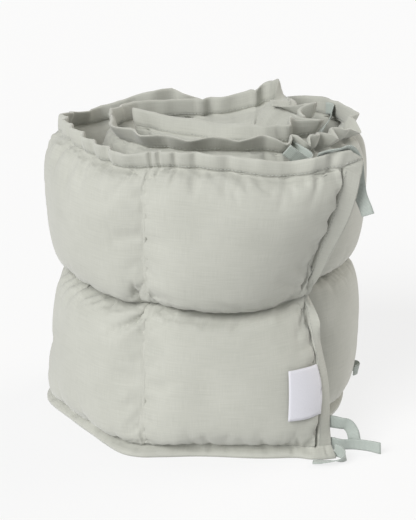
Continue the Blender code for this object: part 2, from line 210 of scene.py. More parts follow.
def unit(vectors):
    """A vector, or each row of vectors, at length 1."""
    return vectors / np.linalg.norm(vectors, axis=-1, keepdims=True)


def run_out(path):
    """Lengthen the path a little at both ends, straight on."""
    return np.vstack([path[0] + RUN_OUT * unit(path[0] - path[1]), path,
                      path[-1] + RUN_OUT * unit(path[-1] - path[-2])])


PATH = run_out(smooth_rows(WOUND_PLAN, PATH_STEPS) * MM)
PATH_ARC = distances(PATH, -RUN_OUT)
DRAW_IN = (PATH_ARC[-1] - RUN_OUT) / (STRIP_LENGTH + 2 * HEM_WIDTH)


@lru_cache
def smooth_table(rows):
    """The rows of a table with smooth steps between them."""
    return smooth_rows(rows, TABLE_STEPS)


def table(rows, column, panel):
    """Read one column of a table at a place along the strip, in metres."""
    smooth = smooth_table(rows)
    return np.interp(panel, smooth[:, 0], smooth[:, rows[0]._fields.index(column)]) * MM


def plan_point(flat):
    """Place and outward direction on the plan at a distance along the strip."""
    arc = (flat + HEM_WIDTH) * DRAW_IN
    place = [np.interp(arc, PATH_ARC, PATH[:, axis]) for axis in (0, 1)]
    ahead = [np.interp(arc + LOOK_AHEAD, PATH_ARC, PATH[:, axis]) for axis in (0, 1)]
    behind = [np.interp(arc - LOOK_AHEAD, PATH_ARC, PATH[:, axis]) for axis in (0, 1)]
    along_x, along_y = ahead[0] - behind[0], ahead[1] - behind[1]
    length = np.hypot(along_x, along_y)
    return place[0], place[1], -along_y / length, along_x / length


def bell(distance, reach):
    """1 at no distance, falling to 0 beyond the reach."""
    return np.exp(-(distance / reach) ** 2)


def row_fullness(zone, fraction):
    """0 on a seam along the strip and 1 on the crown of the row; the lower row sags a little."""
    if zone in ("foot", "hem"):
        return 0.0
    level = fraction ** LOWER_SAG if zone == "lower" else fraction
    return max(0.0, 1 - abs(2 * level - 1) ** ROW_POWER) ** ROW_ROOT


def end_fullness(panel):
    """0 on the seams at the two ends of the strip, 1 away from them."""
    to_end = np.minimum(panel, PANEL_COUNT - panel) * PANEL_PITCH
    return np.sqrt(np.clip(1 - (1 - np.clip(to_end / END_RAMP, 0, 1)) ** 2, 0, 1))


def cross_seam(panel):
    """1 on a seam across the strip, falling to 0 beside it."""
    to_seam = np.abs(panel - np.round(panel)) * PANEL_PITCH
    return bell(to_seam, VALLEY_REACH)


def face_offsets(panel, fullness):
    """How far the outer and the inner face stand from the strip's seam surface."""
    thinning = END_THINNING * bell(np.maximum(panel, 0) * PANEL_PITCH, END_THINNING_REACH)
    fill = fullness * end_fullness(panel) * (1 - thinning)
    seam = cross_seam(panel)
    outer = (table(PUFFS, "outer_mm", panel) - table(PUFFS, "dip_mm", panel) * seam) * fill
    inner = -table(PUFFS, "inner_mm", panel) * fill * (1 - seam) + outer * seam
    return outer, inner - CLOTH_THICKNESS


def ruffle(panel):
    """Sideways wave of the top hem, with sharp crests."""
    wave = np.sin(2 * math.pi * panel * PANEL_PITCH / RUFFLE_LENGTH)
    sharp = np.arcsin(RUFFLE_SHARPNESS * wave) / math.asin(RUFFLE_SHARPNESS)
    return table(RUFFLES, "depth_mm", panel) * sharp


def hem_softness(fraction):
    """How far each face of the hem stands out between its seam and its edge."""
    return HEM_SOFTNESS * math.sin(math.pi * fraction) ** 0.5


def mark_height(mark):
    """Height of a zone and fraction before the strip is wound and leant."""
    low, high = {"foot": (0.0, BOTTOM_SEAM_Z), "lower": (BOTTOM_SEAM_Z, MIDDLE_SEAM_Z),
                 "upper": (MIDDLE_SEAM_Z, TOP_SEAM_Z), "hem": (TOP_SEAM_Z, TOP_EDGE_Z)}[mark[0]]
    return low + (high - low) * mark[1]


def pad_point(panel, zone, fraction, face, proud=0.0):
    """Points on the pad, for one place or many along the strip.

    zone is foot, lower, upper or hem, from the bottom up; fraction runs up the zone;
    face is 1 for the outer face and -1 for the inner one; proud lifts the point off that face.
    """
    panel = np.asarray(panel, dtype=float)
    z = mark_height((zone, fraction))
    outer, inner = face_offsets(panel, row_fullness(zone, fraction))
    away = outer if face > 0 else inner
    if zone == "hem":
        away = away + face * hem_softness(fraction)
    if zone == "hem" and fraction > HEM_ROUND_FROM:
        bend = (fraction - HEM_ROUND_FROM) / (1 - HEM_ROUND_FROM)
        away = away - face * CLOTH_THICKNESS / 2 * (1 - math.sqrt(1 - HEM_ROUNDING * bend ** 2))
    seam_lean = table(TOP_HEM, "seam_lean_mm", panel)
    edge_lean = table(TOP_HEM, "edge_lean_mm", panel) + ruffle(panel)
    hem_tilt = np.clip(edge_lean - seam_lean, -HEM_TILT_LIMIT, HEM_TILT_LIMIT)
    foot_seam = table(FEET, "seam_out_mm", panel)
    foot_edge = table(FEET, "splay_mm", panel)
    lean = {"foot": foot_edge + (foot_seam - foot_edge) * fraction,
            "lower": foot_seam * (1 - fraction) ** 2,
            "upper": seam_lean * fraction,
            "hem": seam_lean + (edge_lean - seam_lean) * fraction}[zone]
    flat = panel * PANEL_PITCH
    from_end = np.maximum(flat, 0)
    near_end = bell(from_end, WAIST_REACH)
    waist = bell(z - MIDDLE_SEAM_Z, WAIST_HEIGHT) * near_end
    shift_height = WAIST_HEIGHT_BELOW if z < MIDDLE_SEAM_Z else WAIST_HEIGHT
    shift = WAIST_SHIFT * (bell(z - MIDDLE_SEAM_Z, shift_height) * near_end)
    slant = END_SLANT * (z / MIDDLE_SEAM_Z - 1) * np.exp(-from_end / WAIST_REACH)
    climb = max(0.0, (z - INNER_SLANT_FROM_Z) / (TOP_EDGE_Z - INNER_SLANT_FROM_Z))
    to_inner_end = np.maximum(PANEL_COUNT * PANEL_PITCH - flat, 0)
    inner_slant = INNER_SLANT * climb ** INNER_SLANT_POWER * bell(to_inner_end, INNER_SLANT_REACH)
    over = (table(END_BULGES, "over_mm", z / MM)
            * np.sin(math.pi * np.clip(flat / END_OVERHANG_REACH, 0, 1)))
    on_hem = np.clip(-flat / HEM_WIDTH, 0, 1)
    gathered = HEM_PINCH_SHARE * HEM_WIDTH * bell(z - HEM_PINCH_Z, HEM_PINCH_HEIGHT) * on_hem
    x, y, out_x, out_y = plan_point(flat + shift - slant + inner_slant - over + gathered)
    away = away + lean - WAIST_INSET * waist + face * proud
    away = away + table(END_TURNS, "out_mm", z / MM) * on_hem
    rise = table(TOP_HEM, "rise_mm", panel) * (z / TOP_EDGE_Z) ** RISE_POWER
    rise = rise - table(SAGS, "drop_mm", panel) * bell(z - MIDDLE_SEAM_Z, SAG_REACH)
    if zone == "hem":
        rise = rise - fraction * (HEM_WIDTH - np.sqrt(HEM_WIDTH ** 2 - hem_tilt ** 2))
    return np.stack([x + out_x * away, y + out_y * away, z + rise], axis=-1) + TO_ORIGIN


# ---- folds of the cloth

# Each pucker's place within its own spacing, its width in spacings, its share of the whole length and
# the way it leans, all drawn between two limits; and the least share of the whole depth.
PUCKER_PLACE = (0.1, 0.9)
PUCKER_WIDTH = (0.22, 0.42)
PUCKER_LEAST = 0.15
PUCKER_LENGTH = (0.35, 1.0)
PUCKER_LEAN = (-0.45, 0.45)


def gathers(along, away, spacing, depth, reach, seed):
    """Puckers that start on a seam and die out away from it, at uneven places along it."""
    rng = np.random.default_rng(seed)
    first, last = along.min() - spacing, along.max() + spacing
    count = max(1, int((last - first) / spacing))
    total = np.zeros(np.broadcast(along, away).shape)
    for number in range(count):
        place = first + (number + rng.uniform(*PUCKER_PLACE)) * spacing
        width = rng.uniform(*PUCKER_WIDTH) * spacing
        size = depth * rng.uniform(PUCKER_LEAST, 1.0) ** 1.5
        length = reach * rng.uniform(*PUCKER_LENGTH)
        lean = rng.uniform(*PUCKER_LEAN)
        t = (along - place - lean * away) / width
        near = np.abs(t) < 4
        if near.any():
            total -= size * (1 - 0.6 * t ** 2) * np.exp(-0.8 * t ** 2 - (away / length) ** 1.5) * near
    return total


# Where the hem and the row under it stand out in a pleat, or in by a tuck, where out_mm is negative.
# Some are sharp, the others round, and all die out below the hem's seam.
HemFold = namedtuple("HemFold", "panel width_mm out_mm reach_mm rise_mm sharp", defaults=(0, 0))
HEM_FOLDS = [HemFold(*row) for row in (
    (0.07, 4, -6, 16), (0.16, 5, 2, 10), (0.26, 9, -3, 14, -1), (0.42, 7, 2, 10, 1), (0.58, 6, -4, 14),
    (0.66, 8, 2, 10), (0.755, 4, -5, 14), (0.86, 3, -5, 11), (0.945, 1.8, -7, 11, 0, 1),
    (0.99, 1.8, -6, 11, 0, 1), (1.12, 9, 3, 14), (1.2, 4, 3, 26), (1.25, 3, -4, 30, 0, 1),
    (1.3, 4, 3, 26), (1.355, 3, -5, 34, 0, 1), (1.41, 4, 3, 26), (1.47, 3, -4, 30, 0, 1),
    (1.54, 5, 3, 24), (1.61, 4, -4, 26, 0, 1), (1.7, 6, 3, 20, 1), (1.8, 5, -3, 20, 0, 1),
    (1.91, 6, 3, 16), (2.06, 7, -4, 12, -1), (2.18, 6, 3, 12), (2.34, 6, -4, 14), (2.48, 6, 4, 12),
    (2.62, 5, -3, 12), (2.8, 8, -4, 16), (2.92, 5, 3, 12, 1), (2.99, 4, -5, 16, 0, 1), (3.08, 6, 3, 14),
    (3.6, 10, -3, 14), (3.86, 6, 3, 12), (3.96, 4, -4, 12), (4.3, 8, 4, 20), (4.38, 4, -5, 22, -1, 1),
    (4.5, 11, 9, 26, -9), (4.6, 5, 5, 26, -3), (4.665, 3, -5, 26, 0, 1), (4.72, 3.5, 12, 36, -9, 1),
    (4.775, 4, -9, 34, 0, 1), (4.84, 6, 4, 26), (4.9, 4, 14, 40, -11, 1), (4.955, 4, -9, 36, 0, 1),
    (5.03, 6, 5, 26, -3, 1), (5.12, 5, -3, 20), (5.2, 9, 2, 18), (5.33, 8, -3, 12), (5.52, 9, 3, 12),
    (5.69, 5, -8, 16, -2, 1), (5.79, 8, 4, 12, 1), (5.92, 9, -4, 16), (6.12, 8, 3, 18), (6.3, 7, -3, 20),
    (6.44, 5, 3, 18, 1), (6.54, 4, -3, 18), (6.7, 6, 3, 14), (6.88, 8, -3, 10), (7.115, 3, -9, 16, 0, 1),
    (7.17, 5, 5, 14), (7.32, 9, 3, 30), (7.44, 4, -9, 60, -2, 1), (7.5, 7, 5, 50, 2), (7.555, 4, -3, 30),
    (7.69, 14, 0, 30, -16), (7.8, 8, 0, 34, -6, 1), (7.87, 8, 32, 40, 3, 1), (7.96, 5, 12, 40, -4),
    (8.06, 8, 34, 44, 0, 1), (8.165, 5, -7, 34, 6), (8.21, 2.2, 5, 26, 0, 1), (8.25, 2.2, -5, 26, 0, 1),
    (8.31, 5, 4, 30), (8.66, 9, -3, 14), (8.86, 7, 3, 12),
)]

HEM_FOLD_AT_SEAM = 0.45
HEM_FOLD_TAPER = 0.6

# The thread pulls the cloth in along its seams.
Groove = namedtuple("Groove", "depth_mm width_mm")
TOP_GROOVE = Groove(2.8, 1.5)
STITCH_GROOVE = Groove(0.5, 0.8)
CROSS_GROOVE = Groove(1.4, 1.8)
END_GROOVE = Groove(5.0, 2.2)
MITRE_GROOVE = Groove(2.4, 1.1)
HEM_SIDE = 3.0

# Along this part the top seam is drawn in least, under the pleats.
SOFT_SEAM_PANEL = 1.75
SOFT_SEAM_REACH = 0.5
SOFT_SEAM_SHARE = 0.75
STITCH_ABOVE_SEAM = 0.0032

# Half of the cloth that a seam at least leaves between the two faces.
SEAM_CORE = 0.0003

# How far the middle seam is drawn in behind the strip's own seam surface.
MIDDLE_DRAW = Groove(5.0, 4.0)


def groove_depth(groove, distance):
    """How deep a groove lies at a distance from its middle."""
    return groove.depth_mm * MM * bell(distance, groove.width_mm * MM)


def seam_depth(flat, mark):
    """How deep the seams draw a face in along a row of points; the two faces don't meet."""
    z = mark_height(mark)
    from_soft = (flat / PANEL_PITCH - SOFT_SEAM_PANEL) / SOFT_SEAM_REACH
    drawn = 1 - SOFT_SEAM_SHARE * np.exp(-from_soft ** 4)
    depth = (groove_depth(TOP_GROOVE, z - TOP_SEAM_Z) * drawn
             + groove_depth(STITCH_GROOVE, z - TOP_SEAM_Z - STITCH_ABOVE_SEAM)) * (flat >= 0)
    if mark[0] == "hem":
        depth = depth + groove_depth(MITRE_GROOVE, flat + HEM_WIDTH * mark[1]) * (flat < 0)
    else:
        to_seam = flat - PANEL_PITCH * np.round(flat / PANEL_PITCH)
        depth = depth + groove_depth(CROSS_GROOVE, to_seam) * inside_seam(flat) * row_fullness(*mark)
    outer, inner = face_offsets(flat / PANEL_PITCH, row_fullness(*mark))
    half = (outer - inner) / 2 + (hem_softness(mark[1]) if mark[0] == "hem" else 0)
    return np.minimum(depth, np.maximum(0, half - SEAM_CORE))


def inside_seam(flat):
    """True where the nearest cross seam isn't one of the two end seams."""
    return (flat > PANEL_PITCH / 2) & (flat < STRIP_LENGTH - PANEL_PITCH / 2)


def seam_draw(flat, mark):
    """How far the middle seam and the end seams carry the whole strip inward in a row of points."""
    drawn = groove_depth(MIDDLE_DRAW, mark_height(mark) - MIDDLE_SEAM_Z)
    if mark[0] == "hem":
        return drawn
    to_end = np.where(flat < STRIP_LENGTH / 2, flat, flat - STRIP_LENGTH)
    to_end = np.where(flat < 0, HEM_SIDE * to_end, to_end)
    return drawn + groove_depth(END_GROOVE, to_end) * ~inside_seam(flat)


def hem_fold_shift(flat, zone, z):
    """How far outward and up the pleats and tucks of the top hem carry a row of the strip."""
    out, rise = np.zeros(len(flat)), np.zeros(len(flat))
    if zone not in ("upper", "hem"):
        return out, rise
    for fold in HEM_FOLDS:
        above = max(0.0, z - TOP_SEAM_Z) / HEM_WIDTH
        strength = ((HEM_FOLD_AT_SEAM + (1 - HEM_FOLD_AT_SEAM) * above)
                    * bell(max(0.0, TOP_SEAM_Z - z), fold.reach_mm * MM))
        t = np.abs(flat - fold.panel * PANEL_PITCH) / (fold.width_mm * MM)
        shape = np.maximum(0, 1 - HEM_FOLD_TAPER * t) ** 1.5 if fold.sharp else bell(t, 1)
        out += fold.out_mm * MM * strength * shape
        rise += fold.rise_mm * MM * above * shape
    return out, rise


# Folds of the outer face.  Each is a curve from a strong start, past a middle place, to an end where it
# dies out: distance along the strip and height.  A negative depth is a ridge.
FOLDS = named_rows(
    "flat_1 z_1 flat_2 z_2 flat_3 z_3 width_mm depth_mm",
    # The knot where the middle seam meets the first cross seam.
    (180, 153, 196, 158, 191, 174, 6, 11.0), (175, 155, 178, 164, 176, 172, 4, -3.0),
    (176, 151, 186, 137, 220, 120, 3.4, 13.0), (188, 148, 200, 144, 226, 134, 5, -4.0),
    (180, 144, 188, 130, 208, 112, 4, -3.0), (184, 146, 196, 146, 220, 141, 2.6, 3.0),
    (175, 161, 164, 162, 150, 159, 4, 2.6), (178, 146, 180, 136, 181, 122, 3, 3.0),
    (170, 147, 160, 145, 148, 143, 3, 1.5), (186, 153, 200, 158, 218, 166, 4, 1.8),
    # Gathers that run down and back from the middle seam at the left.
    (222, 149, 232, 141, 252, 132, 3, 3.2), (238, 149, 250, 139, 270, 128, 3, 4.0),
    (254, 149, 264, 138, 278, 124, 3.2, 4.0), (270, 149, 280, 137, 292, 118, 3.4, 4.6),
    (288, 149, 296, 138, 308, 124, 3.6, 3.6), (304, 149, 312, 138, 326, 126, 3.6, 3.2),
    (322, 149, 330, 140, 344, 130, 4, 3.0),
    # Gathers that run back from the pinched middle of the outer end.
    (3, 160, 20, 170, 48, 184, 8, 5.0), (3, 157, 24, 160, 62, 162, 5, 3.0),
    (2, 165, 12, 182, 30, 204, 7, 4.0), (3, 154, 20, 153, 44, 154, 4, 2.0),
    (2, 145, 16, 140, 40, 137, 6, 3.0), (2, 141, 10, 128, 22, 112, 6, 3.5),
    (1, 172, 6, 196, 14, 222, 5, 3.0),
    # Folds that fall from the top seam.
    (52, 281, 53, 272, 56, 254, 4, 2.5), (22, 281, 24, 268, 30, 250, 6, 3.0),
    (92, 281, 93, 274, 96, 262, 4, 2.0), (132, 281, 133, 273, 134, 262, 4, 1.8),
    (120, 281, 118, 275, 118, 268, 3, 1.2), (78, 281, 78, 276, 77, 268, 3, 1.2),
    (160, 281, 163, 272, 164, 258, 4, 1.8), (196, 281, 202, 268, 212, 250, 5, 2.2),
    (224, 281, 236, 268, 256, 258, 5, 2.5), (252, 280, 262, 262, 272, 236, 6, 3.0),
    (286, 280, 298, 262, 312, 240, 6, 3.0), (332, 280, 340, 262, 350, 236, 6, 2.5),
    # Folds that rise from the bottom seam.
    (60, 10, 62, 20, 66, 34, 5, 2.0), (116, 10, 118, 18, 122, 30, 4, 2.0),
    (134, 10, 134, 20, 138, 36, 4, 2.5), (206, 10, 210, 24, 220, 44, 6, 2.5),
    (246, 10, 252, 26, 262, 50, 7, 3.0), (292, 10, 296, 26, 304, 48, 7, 3.0),
)
CURVE_POINTS = 24
FOLD_FADE = 0.5
FOLD_SHOULDER = 0.2
FOLD_FALL = 1.2
FOLD_FALL_POWER = 1.25


def fold_depth(flat, height):
    """How deep the folds of the outer face lie at each point of a grid of the strip."""
    total = np.zeros(np.broadcast(flat, height).shape)
    t = np.linspace(0, 1, CURVE_POINTS)
    for fold in FOLDS:
        ends = np.array(fold[:6]).reshape(3, 2) * MM
        curve = ((1 - t) ** 2)[:, None] * ends[0] + (2 * t * (1 - t))[:, None] * ends[1]
        curve = curve + (t ** 2)[:, None] * ends[2]
        width = fold.width_mm * MM
        low, high = curve.min(axis=0) - 3 * width, curve.max(axis=0) + 3 * width
        columns = np.where((flat[0] > low[0]) & (flat[0] < high[0]))[0]
        rows = np.where((height[:, 0] > low[1]) & (height[:, 0] < high[1]))[0]
        if not len(columns) or not len(rows):
            continue
        block = np.ix_(rows, columns)
        distance = np.hypot(flat[0][columns][None, :, None] - curve[:, 0],
                            height[rows, 0][:, None, None] - curve[:, 1])
        nearest = distance.argmin(axis=2)
        strength = (1 - t[nearest]) ** FOLD_FADE
        near = distance.min(axis=2) / width
        total[block] += (fold.depth_mm * MM * strength * (1 - FOLD_SHOULDER * near)
                         * np.exp(-FOLD_FALL * near ** FOLD_FALL_POWER))
    return total


# ---- the pad's mesh

STATION_RUNS = named_rows(
    "first_m last_m step_m",
    (-HEM_WIDTH, -0.004, 0.0012), (-0.004, 0.006, 0.0010), (0.006, 0.03, 0.0018), (0.03, 0.15, 0.0024),
    (0.15, 0.225, 0.0013), (0.225, 0.38, 0.0020), (0.38, 0.76, 0.0056), (0.76, 0.94, 0.0026),
    (0.94, 1.32, 0.0050), (1.32, 1.50, 0.0026), (1.50, STRIP_LENGTH, 0.0042),
    (STRIP_LENGTH, STRIP_LENGTH + HEM_WIDTH, 0.0030),
)
ROW_COUNTS = {1: {"lower": 50, "upper": 48}, -1: {"lower": 10, "upper": 26}}
ROW_EASE = 0.75
HEM_ROWS = (0.0, 0.035, 0.07, 0.11, 0.15, 0.18, 0.21, 0.26, 0.34, 0.45, 0.57, 0.69, 0.80, 0.89, 0.95,
            0.985, 1.0)
FOOT_ROWS = {1: (0.0, 0.3, 0.6, 0.85), -1: (0.0,)}
ZONES = ("foot", "lower", "upper", "hem")


def pad_stations():
    """Distances along the strip, in metres, closer together where the photograph looks."""
    stations = []
    for run in STATION_RUNS:
        count = round((run.last_m - run.first_m) / run.step_m)
        stations += list(run.first_m + (run.last_m - run.first_m) * np.arange(count) / count)
    return np.array(stations + [STRIP_LENGTH + HEM_WIDTH])


def row_marks(face):
    """Zone and fraction of every row of points up one face, closer together beside the seams."""
    marks = [("foot", fraction) for fraction in FOOT_ROWS[face]]
    for zone in ("lower", "upper"):
        even = np.arange(ROW_COUNTS[face][zone]) / ROW_COUNTS[face][zone]
        marks += [(zone, fraction) for fraction in even - ROW_EASE * np.sin(2 * math.pi * even)
                  / (2 * math.pi)]
    return marks + [("hem", fraction) for fraction in HEM_ROWS]


def pad_rows(flat, face):
    """Rows of points up one face of the pad, from the foot to the top edge, with the hem's folds."""
    panel = flat / PANEL_PITCH
    rows = []
    for mark in row_marks(face):
        if mark[0] == "foot":
            row = pad_point(panel, "foot", mark[1], 1, 0.0 if face > 0 else -FOOT_FLAT)
            climb = FOOT_THICKNESS + (BOTTOM_SEAM_Z - FOOT_THICKNESS) * mark[1]
            row[:, 2] = climb if face > 0 else 0.0
        else:
            out, rise = hem_fold_shift(flat, mark[0], mark_height(mark))
            out -= seam_draw(flat, mark)
            row = pad_point(panel, mark[0], mark[1], face, face * out - seam_depth(flat, mark))
            row[:, 2] += rise
        rows.append(row)
    return np.array(rows)


def face_normals(rows, face):
    """Unit normals of a grid of points, away from the pad."""
    normal = np.cross(np.gradient(rows, axis=0), np.gradient(rows, axis=1))
    return face * normal / np.maximum(np.linalg.norm(normal, axis=2, keepdims=True), 1e-9)


Gather = namedtuple("Gather", "spacing_mm depth_mm reach_mm")
SEAM_GATHERS = {"middle": Gather(16, 1.4, 20), "top": Gather(8, 1.5, 14), "bottom": Gather(11, 1.4, 16),
                "cross": Gather(6, 2.2, 14), "end": Gather(8, 2.0, 9), "hem": Gather(7, 0.9, 9),
                "foot": Gather(10, 1.6, 30)}
# The drawn folds take the place of most gathers along the middle seam, up to this distance.
CLEAN_MIDDLE_TO = 0.30
CLEAN_MIDDLE_RUN = 0.1
CLEAN_MIDDLE_SHARE = 0.25
CROSS_GATHERS_TO = 0.04
INNER_SEED = 500
CROSS_SEED = 50


def seam_gathers(flat, face):
    """How far the small gathers along the seams move each point of a face out or in."""
    marks = row_marks(face)
    along = flat[None, :]
    shifts = np.zeros((len(marks), len(flat)))
    height = np.array([mark_height(mark) for mark in marks])[:, None]
    seed = 1 if face > 0 else INNER_SEED

    def along_seam(name, seam_z, up, number):
        """Gathers above or below a seam along the strip."""
        side = (height - seam_z) * up
        kind = SEAM_GATHERS[name]
        return gathers(along, np.maximum(side, 0), kind.spacing_mm * MM, kind.depth_mm * MM,
                       kind.reach_mm * MM, seed + number) * (side >= 0)

    upper = (height >= MIDDLE_SEAM_Z) & (height < TOP_SEAM_Z)
    lower = (height > BOTTOM_SEAM_Z) & (height < MIDDLE_SEAM_Z)
    past = np.clip((along - CLEAN_MIDDLE_TO) / CLEAN_MIDDLE_RUN, 0, 1)
    clean = CLEAN_MIDDLE_SHARE + (1 - CLEAN_MIDDLE_SHARE) * past
    shifts += along_seam("middle", MIDDLE_SEAM_Z, 1, 1) * upper * clean
    shifts += along_seam("middle", MIDDLE_SEAM_Z, -1, 2) * lower * clean
    shifts += along_seam("top", TOP_SEAM_Z, -1, 3) * upper
    shifts += along_seam("bottom", BOTTOM_SEAM_Z, 1, 4) * lower
    shifts += along_seam("hem", TOP_SEAM_Z, 1, 5) * (height > TOP_SEAM_Z)
    shifts += along_seam("foot", 0.0, 1, 6) * ((height > 0) & (height < BOTTOM_SEAM_Z))
    rows = upper | lower
    for number in range(PANEL_COUNT + 1):
        kind = SEAM_GATHERS["end" if number in (0, PANEL_COUNT) else "cross"]
        beside = np.abs(along - number * PANEL_PITCH)
        columns = np.where(beside[0] < CROSS_GATHERS_TO)[0]
        for side in (-1, 1):
            here = gathers(height + 0 * along[:, columns], beside[:, columns], kind.spacing_mm * MM,
                           kind.depth_mm * MM, kind.reach_mm * MM,
                           seed + CROSS_SEED + 4 * number + side)
            shifts[:, columns] += here * rows * ((along[:, columns] - number * PANEL_PITCH) * side > 0)
    inside = (along > 0) & (along < STRIP_LENGTH)
    return shifts * (inside | (height > TOP_SEAM_Z) | (height < BOTTOM_SEAM_Z))


# The cloth simulation fills the rows a little more, so that the cloth pulls at its seams.
SETTLE_FRAMES = 20
FILL_PRESSURE = 4.0
CLOTH_EXCESS = 0.03
SEAM_HOLD = 0.0018
SETTLE_LIMIT = 0.003
COTTON = dict(
    quality=4, mass=0.15, tension_stiffness=12, compression_stiffness=6, shear_stiffness=4,
    bending_stiffness=0.05, tension_damping=8, compression_damping=8, shear_damping=5,
    bending_damping=0.5, air_damping=2, use_pressure=True, uniform_pressure_force=FILL_PRESSURE,
    shrink_min=-CLOTH_EXCESS, shrink_max=-CLOTH_EXCESS,
)


def settle(pad, held):
    """Fill the pad by simulation, with the held points fixed, and return how far each point moves."""
    before = mesh_points(pad.data)
    group = pad.vertex_groups.new(name="seams")
    group.add([int(index) for index in np.where(held)[0]], 1.0, "REPLACE")
    cloth = pad.modifiers.new("filling", "CLOTH")
    settings = cloth.settings
    settings.vertex_group_mass = "seams"
    for setting, value in COTTON.items():
        setattr(settings, setting, value)
    settings.effector_weights.gravity = 0
    cloth.collision_settings.use_collision = False
    cloth.collision_settings.use_self_collision = False
    cloth.point_cache.frame_start = 1
    cloth.point_cache.frame_end = SETTLE_FRAMES
    for number in range(1, SETTLE_FRAMES + 1):
        bpy.context.scene.frame_set(number)
    settled = pad.evaluated_get(bpy.context.evaluated_depsgraph_get())
    moved = mesh_points(settled.data) - before
    pad.modifiers.remove(cloth)
    pad.vertex_groups.remove(group)
    bpy.context.scene.frame_set(1)
    far = np.linalg.norm(moved, axis=1, keepdims=True)
    return moved / np.sqrt(1 + (far / SETTLE_LIMIT) ** 2)


def mesh_points(mesh):
    """The points of a mesh as rows of three numbers."""
    points = np.empty(len(mesh.vertices) * 3)
    mesh.vertices.foreach_get("co", points)
    return points.reshape(-1, 3)


def add_object(name, data):
    """Add an object to the scene."""
    thing = bpy.data.objects.new(name, data)
    bpy.context.scene.collection.objects.link(thing)
    return thing


def new_piece(name, points, faces, material, uvs=None):
    """Make a smooth mesh piece of the scene; uvs holds one pair for each point."""
    mesh = bpy.data.meshes.new(name)
    mesh.from_pydata([tuple(map(float, point)) for point in points], [], faces)
    if uvs is not None:
        layer = mesh.uv_layers.new(name="cloth")
        corners = np.empty(len(mesh.loops), dtype=np.int64)
        mesh.loops.foreach_get("vertex_index", corners)
        layer.data.foreach_set("uv", np.asarray(uvs, dtype=np.float32)[corners].ravel())
    mesh.shade_smooth()
    mesh.materials.append(material)
    return add_object(name, mesh)


def cloth_uvs(along, up):
    """One pair of cloth coordinates for each point of a grid."""
    return np.stack(np.broadcast_arrays(along[:, None], up[None, :]), axis=-1).reshape(-1, 2)


def loft(count, size):
    """Faces of a body through `count` rings of `size` points, numbered in turn, with both ends."""
    faces = []
    for ring in range(count - 1):
        for corner in range(size):
            after = (corner + 1) % size
            faces.append((ring * size + corner, ring * size + after,
                          (ring + 1) * size + after, (ring + 1) * size + corner))
    return faces + [tuple(range(size))[::-1], tuple(range((count - 1) * size, count * size))]


# Every point of the pad's two faces as it is shown, for the pieces that are sewn to it.
Surface = namedtuple("Surface", "flat levels points normals")
surfaces = {}


def make_pad(material):
    """The quilted and filled strip with its hem, wound up."""
    flat = pad_stations()
    outer, inner = pad_rows(flat, 1), pad_rows(flat, -1)
    toe = pad_point(flat / PANEL_PITCH, "foot", 0.0, 1)[None]
    loop = np.concatenate([outer, inner[::-1], toe]).transpose(1, 0, 2)
    count, size = loop.shape[:2]
    up = {face: [mark_height(mark) for mark in row_marks(face)] for face in (1, -1)}
    heights = np.array(up[1] + [2 * TOP_EDGE_Z - height for height in up[-1][::-1]] + [2 * TOP_EDGE_Z])
    pad = new_piece("quilted_pad", loop.reshape(-1, 3), loft(count, size), material,
                    cloth_uvs(flat, heights))
    loop = loop + settle(pad, held_points(flat)).reshape(loop.shape)
    for face, rows in ((1, slice(0, len(outer))), (-1, slice(len(outer), size - 1))):
        points = loop[:, rows].transpose(1, 0, 2)
        if face < 0:
            points = points[::-1]
        shift = seam_gathers(flat, face)
        if face > 0:
            shift -= fold_depth(flat[None, :], np.array(up[1])[:, None])
        points = points + face_normals(points, face) * shift[..., None]
        levels = np.array([ZONES.index(mark[0]) + mark[1] for mark in row_marks(face)])
        surfaces[face] = Surface(flat, levels, points, face_normals(points, face))
        loop[:, rows] = (points if face > 0 else points[::-1]).transpose(1, 0, 2)
    pad.data.vertices.foreach_set("co", loop.astype(np.float32).ravel())
    pad.data.update()
    return pad


def held_points(flat):
    """True for the points that the seams and the hem hold still while the pad is filled."""
    marks = row_marks(1) + row_marks(-1)[::-1] + [("foot", 0.0)]
    rows = np.array([mark[0] in ("foot", "hem") or mark[1] == 0 for mark in marks])
    to_seam = np.abs(flat - PANEL_PITCH * np.round(flat / PANEL_PITCH))
    columns = (to_seam < SEAM_HOLD) | (flat < 0) | (flat > STRIP_LENGTH)
    return (columns[:, None] | rows[None, :]).ravel()


def on_pad(flat, zone, fraction, face, proud):
    """A place on the pad as it is shown, lifted off it, and the way the face looks there."""
    surface = surfaces[face]
    column = np.interp(flat, surface.flat, np.arange(len(surface.flat)))
    row = np.interp(ZONES.index(zone) + fraction, surface.levels, np.arange(len(surface.levels)))
    left, low = min(int(column), len(surface.flat) - 2), min(int(row), len(surface.levels) - 2)
    across, up = column - left, row - low
    blend = [grid[low:low + 2, left:left + 2] for grid in (surface.points, surface.normals)]
    place, normal = [(block[0, 0] * (1 - across) + block[0, 1] * across) * (1 - up)
                     + (block[1, 0] * (1 - across) + block[1, 1] * across) * up for block in blend]
    normal = unit(normal)
    return place + normal * proud, normal


# ---- materials

def set_inputs(owner, node, inputs):
    """Set inputs of a node by name, each to a value or from another node's output."""
    for key, value in inputs.items():
        if hasattr(value, "is_output"):
            owner.node_tree.links.new(value, node.inputs[key])
        else:
            node.inputs[key].default_value = value


def principled(name, colour, roughness, **inputs):
    """A material and its shader; further inputs of the shader are named with _ for a space."""
    material = bpy.data.materials.new(name)
    material.use_nodes = True
    shader = material.node_tree.nodes["Principled BSDF"]
    set_inputs(material, shader, {"Base Color": (*colour, 1.0), "Roughness": roughness, "Metallic": 0.0})
    set_inputs(material, shader, {key.replace("_", " "): value for key, value in inputs.items()})
    return material, shader


